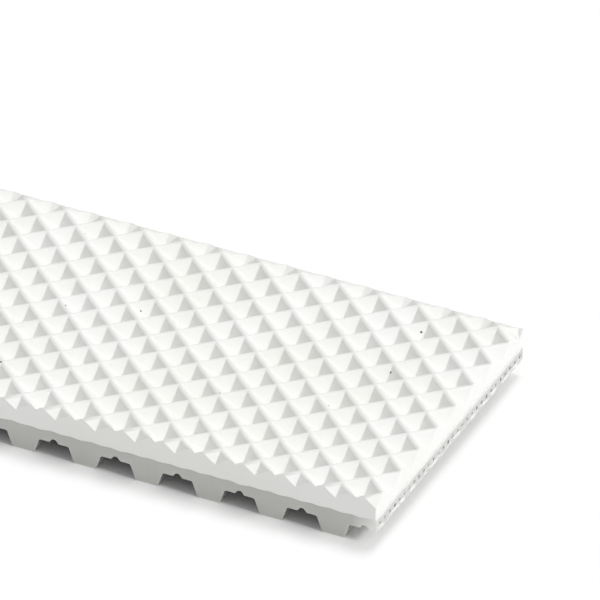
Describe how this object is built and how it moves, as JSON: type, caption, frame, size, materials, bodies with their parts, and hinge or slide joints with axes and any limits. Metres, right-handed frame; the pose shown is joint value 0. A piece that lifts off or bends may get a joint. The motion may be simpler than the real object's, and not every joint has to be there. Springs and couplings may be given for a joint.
{
  "type": "coated timing belt",
  "caption": "Flat length of toothed drive belt with steel cords inside and a soft white grip cover of diamond-set pyramid dents on its back, cut square at both ends.",
  "frame": {"origin": "under the middle of the belt, in the plane of the tooth tips", "axes": "+X along the belt towards the cut end that the picture shows, +Y across it, +Z from the teeth to the grip cover"},
  "size_m": [0.1, 0.05, 0.008],
  "materials": {
    "belt_polyurethane": "pale grey cast polyurethane, satin",
    "cover_elastomer": "white soft elastomer, matte",
    "cord_steel": "bare stranded wire, cut end"
  },
  "bodies": {
    "root": {"belt_body": "belt_polyurethane", "grip_cover": "cover_elastomer", "tension_cord_01": "cord_steel", "tension_cord_02": "cord_steel", "tension_cord_03": "cord_steel", "tension_cord_04": "cord_steel", "tension_cord_05": "cord_steel", "tension_cord_06": "cord_steel", "tension_cord_07": "cord_steel", "tension_cord_08": "cord_steel", "tension_cord_09": "cord_steel", "tension_cord_10": "cord_steel", "tension_cord_11": "cord_steel", "tension_cord_12": "cord_steel", "tension_cord_13": "cord_steel", "tension_cord_14": "cord_steel", "tension_cord_15": "cord_steel", "tension_cord_16": "cord_steel", "tension_cord_17": "cord_steel", "tension_cord_18": "cord_steel", "tension_cord_19": "cord_steel", "tension_cord_20": "cord_steel", "tension_cord_21": "cord_steel", "tension_cord_22": "cord_steel", "tension_cord_23": "cord_steel", "tension_cord_24": "cord_steel", "tension_cord_25": "cord_steel", "tension_cord_26": "cord_steel", "tension_cord_27": "cord_steel", "tension_cord_28": "cord_steel", "tension_cord_29": "cord_steel", "tension_cord_30": "cord_steel"}
  },
  "joints": []
}
